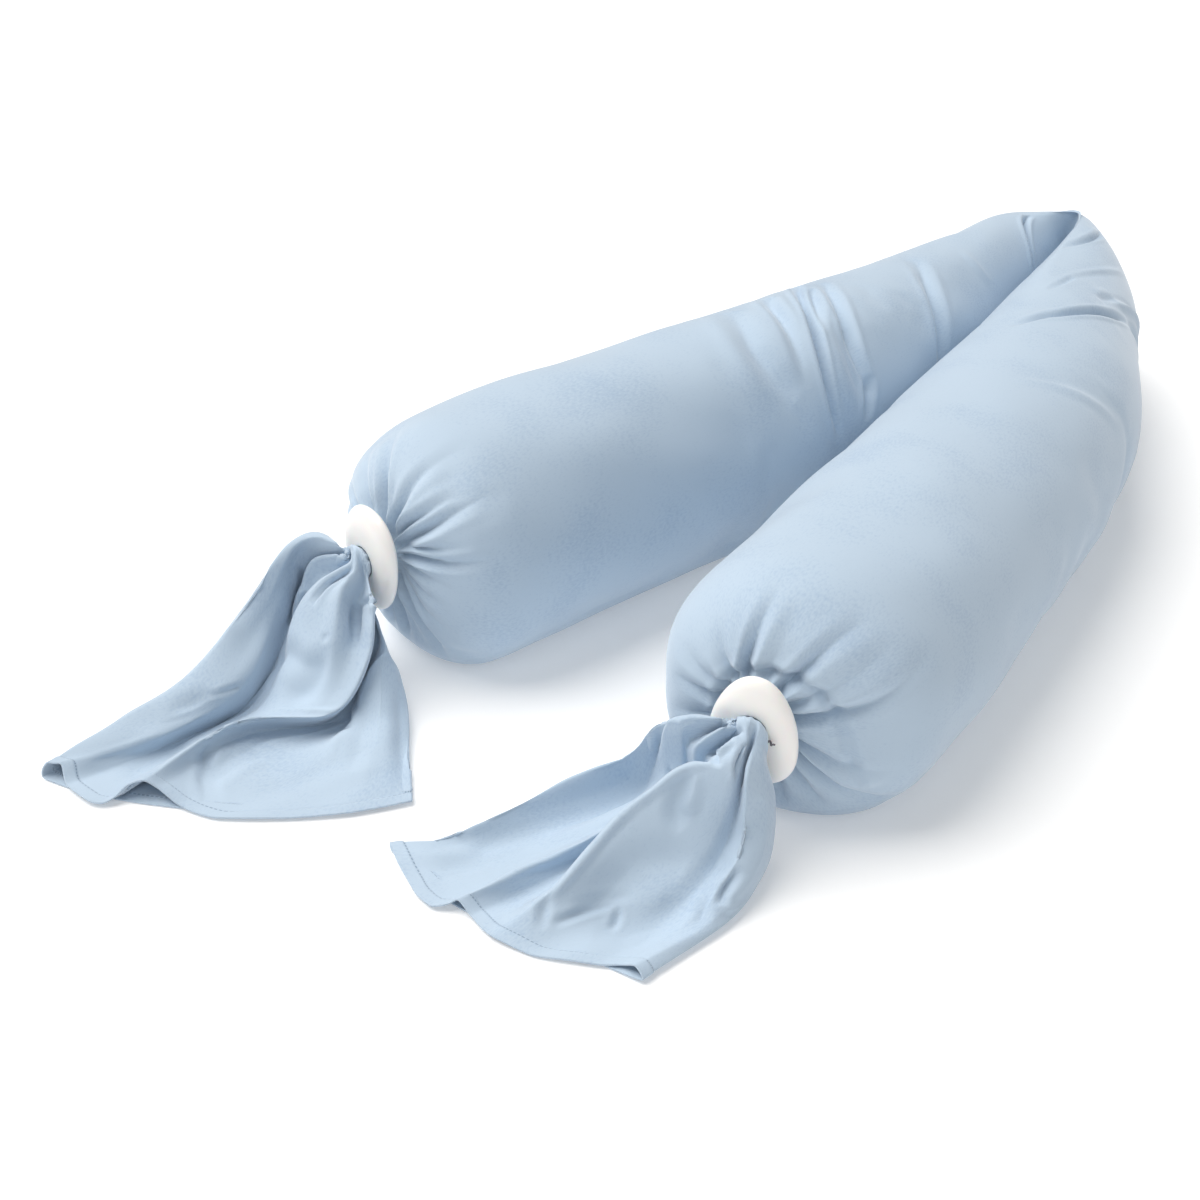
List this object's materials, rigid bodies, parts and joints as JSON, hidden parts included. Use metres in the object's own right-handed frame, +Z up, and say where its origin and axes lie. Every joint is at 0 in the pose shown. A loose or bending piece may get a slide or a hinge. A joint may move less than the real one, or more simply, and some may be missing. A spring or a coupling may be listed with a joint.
{
  "type": "body pillow",
  "caption": "Long filled bolster pillow in a jersey cover, folded into a narrow V, its cover gathered through pebble-shaped clips with loose open ends spread on the surface.",
  "frame": {"origin": "middle of the outline on the surface that the pillow lies on", "axes": "+Y from the loose cover ends towards the fold, +Z up from the surface, +X to the right seen from above with the fold away"},
  "size_m": [0.5628, 1.1572, 0.1958],
  "materials": {
    "cover": "soft powder blue cotton jersey",
    "clip": "satin warm white"
  },
  "bodies": {
    "root": {"bolster": "cover", "tail_left": "cover", "tail_right": "cover", "clip_left": "clip", "clip_right": "clip"}
  },
  "joints": []
}
